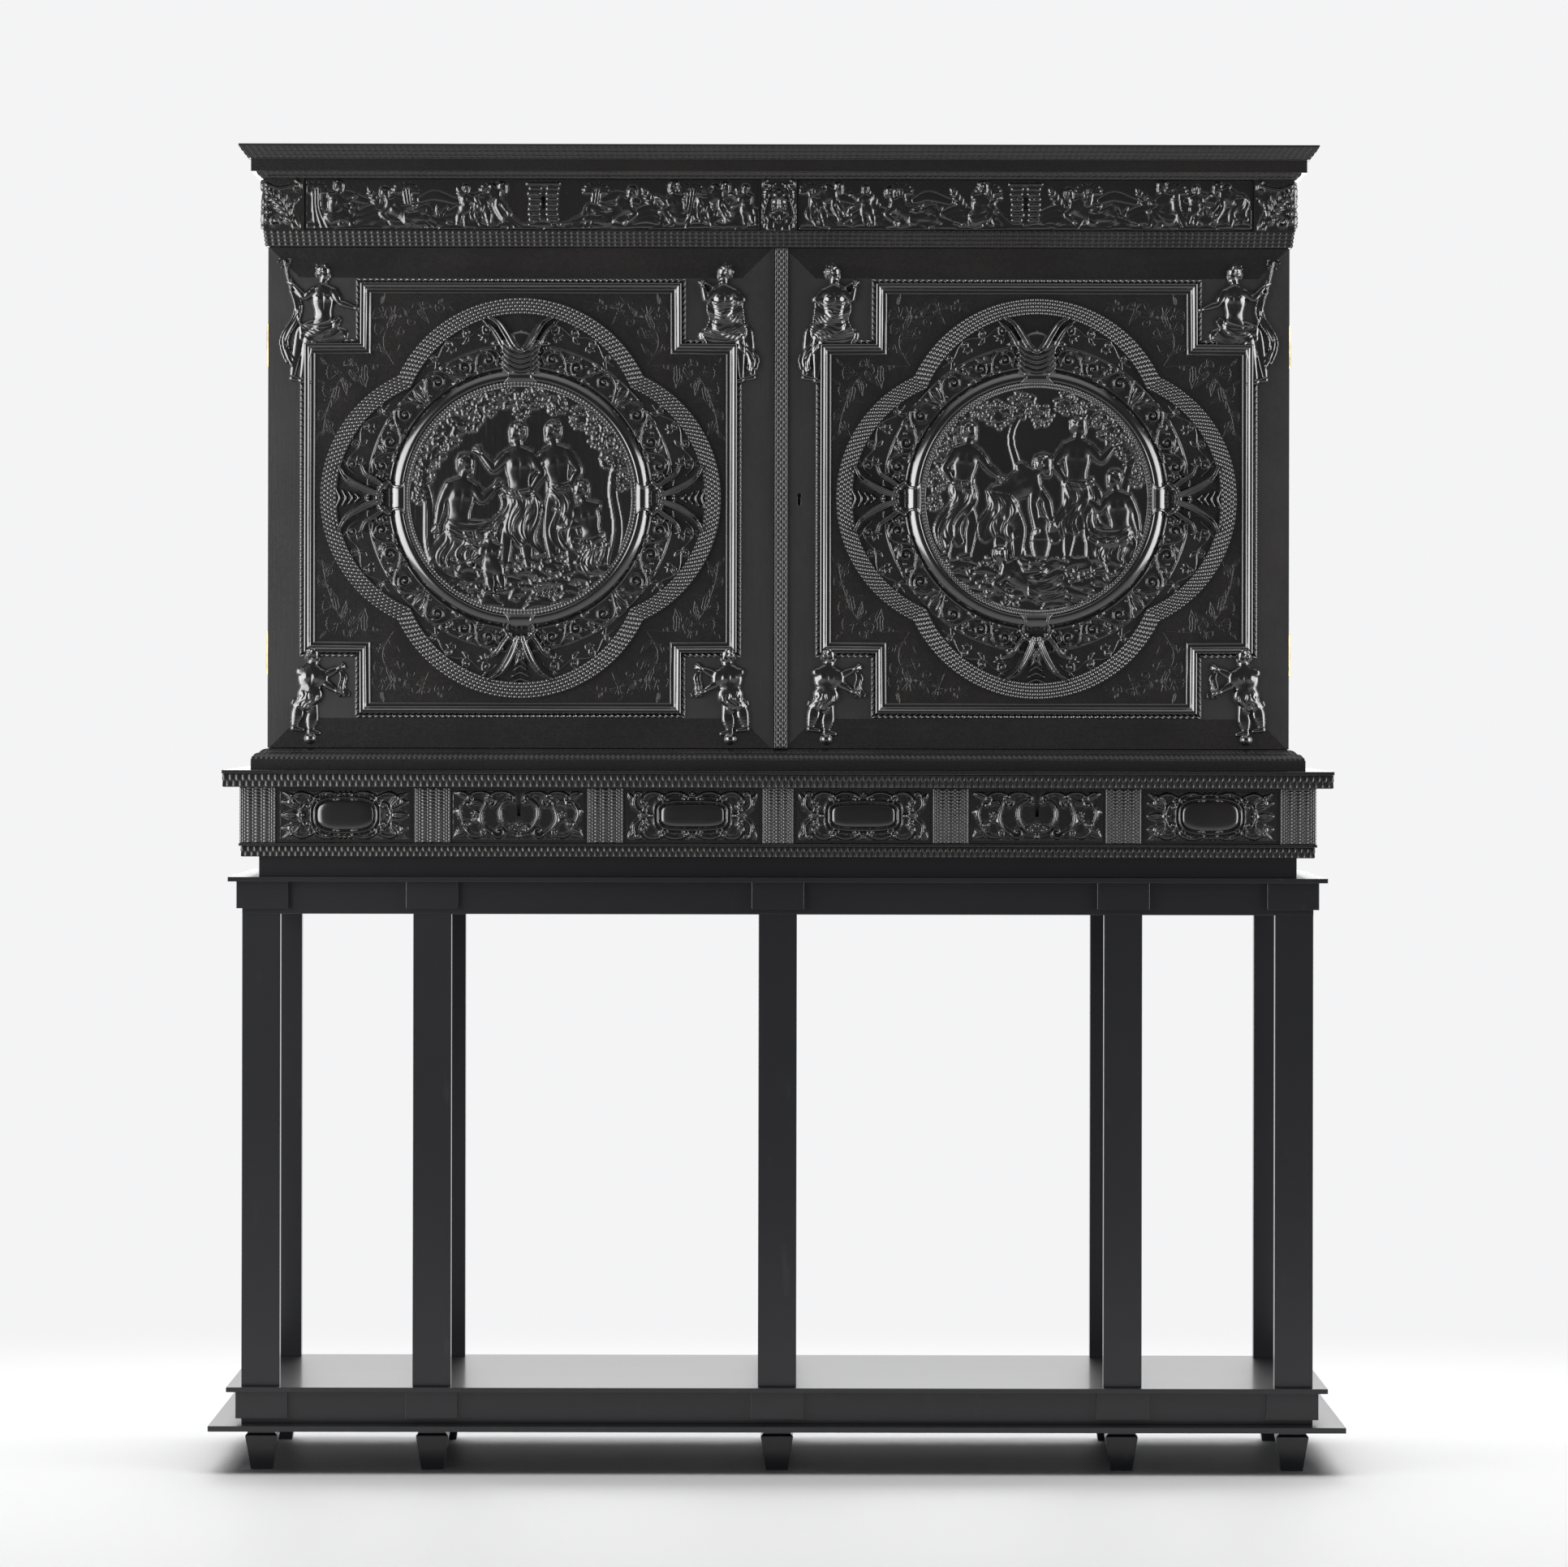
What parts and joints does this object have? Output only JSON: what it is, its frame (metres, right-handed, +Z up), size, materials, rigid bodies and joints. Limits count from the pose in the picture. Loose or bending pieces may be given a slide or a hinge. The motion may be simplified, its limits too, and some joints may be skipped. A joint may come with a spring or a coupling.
{
  "type": "cabinet on stand",
  "caption": "Black ebony cabinet with carved, ripple-moulded doors and drawers above and below, on a plain black post stand with a low shelf.",
  "frame": {"origin": "on the floor, under the middle of the base plate", "axes": "+Z up, front faces -Y, +X to the viewer's right"},
  "size_m": [1.746, 0.581, 2.045],
  "materials": {
    "ebony": "waxed, dark",
    "stand_black": "satin black",
    "lining_wood": "plain waxed",
    "brass": "aged",
    "iron": "dull"
  },
  "bodies": {
    "carcass": {"apron_rails": "stand_black", "back_panels": "lining_wood", "base_plate": "stand_black", "bearer_frame": "stand_black", "case_hinge_leaves": "brass", "cornice": "ebony", "drawer_guides": "lining_wood", "dust_board": "lining_wood", "feet": "stand_black", "frieze_brackets": "ebony", "interior_shelving": "lining_wood", "lower_base_moulding": "ebony", "lower_case_boards": "lining_wood", "lower_case_sides": "ebony", "lower_pilasters": "ebony", "lower_top_moulding": "ebony", "plinth_moulding": "ebony", "plinth_rails": "stand_black", "posts": "stand_black", "shelf": "stand_black", "stand_blocks": "stand_black", "stand_top": "stand_black", "upper_bottom": "lining_wood", "upper_sides": "ebony", "upper_top": "lining_wood", "waist_moulding": "ebony"},
    "left_leaf": {"left_door": "ebony", "left_door_frame_moulding": "ebony", "left_door_lobed_band": "ebony", "left_door_medallion": "ebony", "left_door_carvings": "ebony", "left_door_hinge_leaves": "brass", "left_door_staples": "iron"},
    "right_leaf": {"right_door": "ebony", "right_door_frame_moulding": "ebony", "right_door_lobed_band": "ebony", "right_door_medallion": "ebony", "right_door_carvings": "ebony", "right_door_hinge_leaves": "brass", "astragal": "ebony", "door_lock": "iron"},
    "right_lock_bolt": {"door_lock_bolt": "iron"},
    "left_top_bolt": {"top_slide_bolt": "iron"},
    "left_bottom_bolt": {"bottom_slide_bolt": "iron"},
    "lower_left_drawer": {"lower_left_drawer_front": "ebony", "lower_left_drawer_box": "lining_wood", "lower_left_drawer_lock": "iron"},
    "lower_left_bolt": {"lower_left_drawer_bolt": "iron"},
    "lower_right_drawer": {"lower_right_drawer_front": "ebony", "lower_right_drawer_box": "lining_wood", "lower_right_drawer_lock": "iron"},
    "lower_right_bolt": {"lower_right_drawer_bolt": "iron"},
    "frieze_left_drawer": {"frieze_left_drawer_front": "ebony", "frieze_left_drawer_box": "lining_wood", "frieze_left_drawer_lock": "iron"},
    "frieze_left_bolt": {"frieze_left_drawer_bolt": "iron"},
    "frieze_right_drawer": {"frieze_right_drawer_front": "ebony", "frieze_right_drawer_box": "lining_wood", "frieze_right_drawer_lock": "iron"},
    "frieze_right_bolt": {"frieze_right_drawer_bolt": "iron"}
  },
  "joints": [
    {"name": "left_door_swing", "type": "hinge", "parent": "carcass", "child": "left_leaf", "pos_m": [-0.7898, -0.176, 1.5], "axis": [0, 0, -1], "range_deg": [0, 180]},
    {"name": "right_door_swing", "type": "hinge", "parent": "carcass", "child": "right_leaf", "pos_m": [0.7898, -0.176, 1.5], "axis": [0, 0, 1], "range_deg": [0, 180]},
    {"name": "door_lock_throw", "type": "slide", "parent": "right_leaf", "child": "right_lock_bolt", "axis": [-1, 0, 0], "range_m": [0, 0.016]},
    {"name": "top_bolt_throw", "type": "slide", "parent": "left_leaf", "child": "left_top_bolt", "axis": [0, 0, 1], "range_m": [0, 0.012]},
    {"name": "bottom_bolt_throw", "type": "slide", "parent": "left_leaf", "child": "left_bottom_bolt", "axis": [0, 0, -1], "range_m": [0, 0.012]},
    {"name": "lower_left_drawer_slide", "type": "slide", "parent": "carcass", "child": "lower_left_drawer", "axis": [0, -1, 0], "range_m": [0, 0.34]},
    {"name": "lower_left_lock_throw", "type": "slide", "parent": "lower_left_drawer", "child": "lower_left_bolt", "axis": [0, 0, 1], "range_m": [0, 0.008]},
    {"name": "lower_right_drawer_slide", "type": "slide", "parent": "carcass", "child": "lower_right_drawer", "axis": [0, -1, 0], "range_m": [0, 0.34]},
    {"name": "lower_right_lock_throw", "type": "slide", "parent": "lower_right_drawer", "child": "lower_right_bolt", "axis": [0, 0, 1], "range_m": [0, 0.008]},
    {"name": "frieze_left_drawer_slide", "type": "slide", "parent": "carcass", "child": "frieze_left_drawer", "axis": [0, -1, 0], "range_m": [0, 0.32]},
    {"name": "frieze_left_lock_throw", "type": "slide", "parent": "frieze_left_drawer", "child": "frieze_left_bolt", "axis": [0, 0, 1], "range_m": [0, 0.008]},
    {"name": "frieze_right_drawer_slide", "type": "slide", "parent": "carcass", "child": "frieze_right_drawer", "axis": [0, -1, 0], "range_m": [0, 0.32]},
    {"name": "frieze_right_lock_throw", "type": "slide", "parent": "frieze_right_drawer", "child": "frieze_right_bolt", "axis": [0, 0, 1], "range_m": [0, 0.008]}
  ]
}
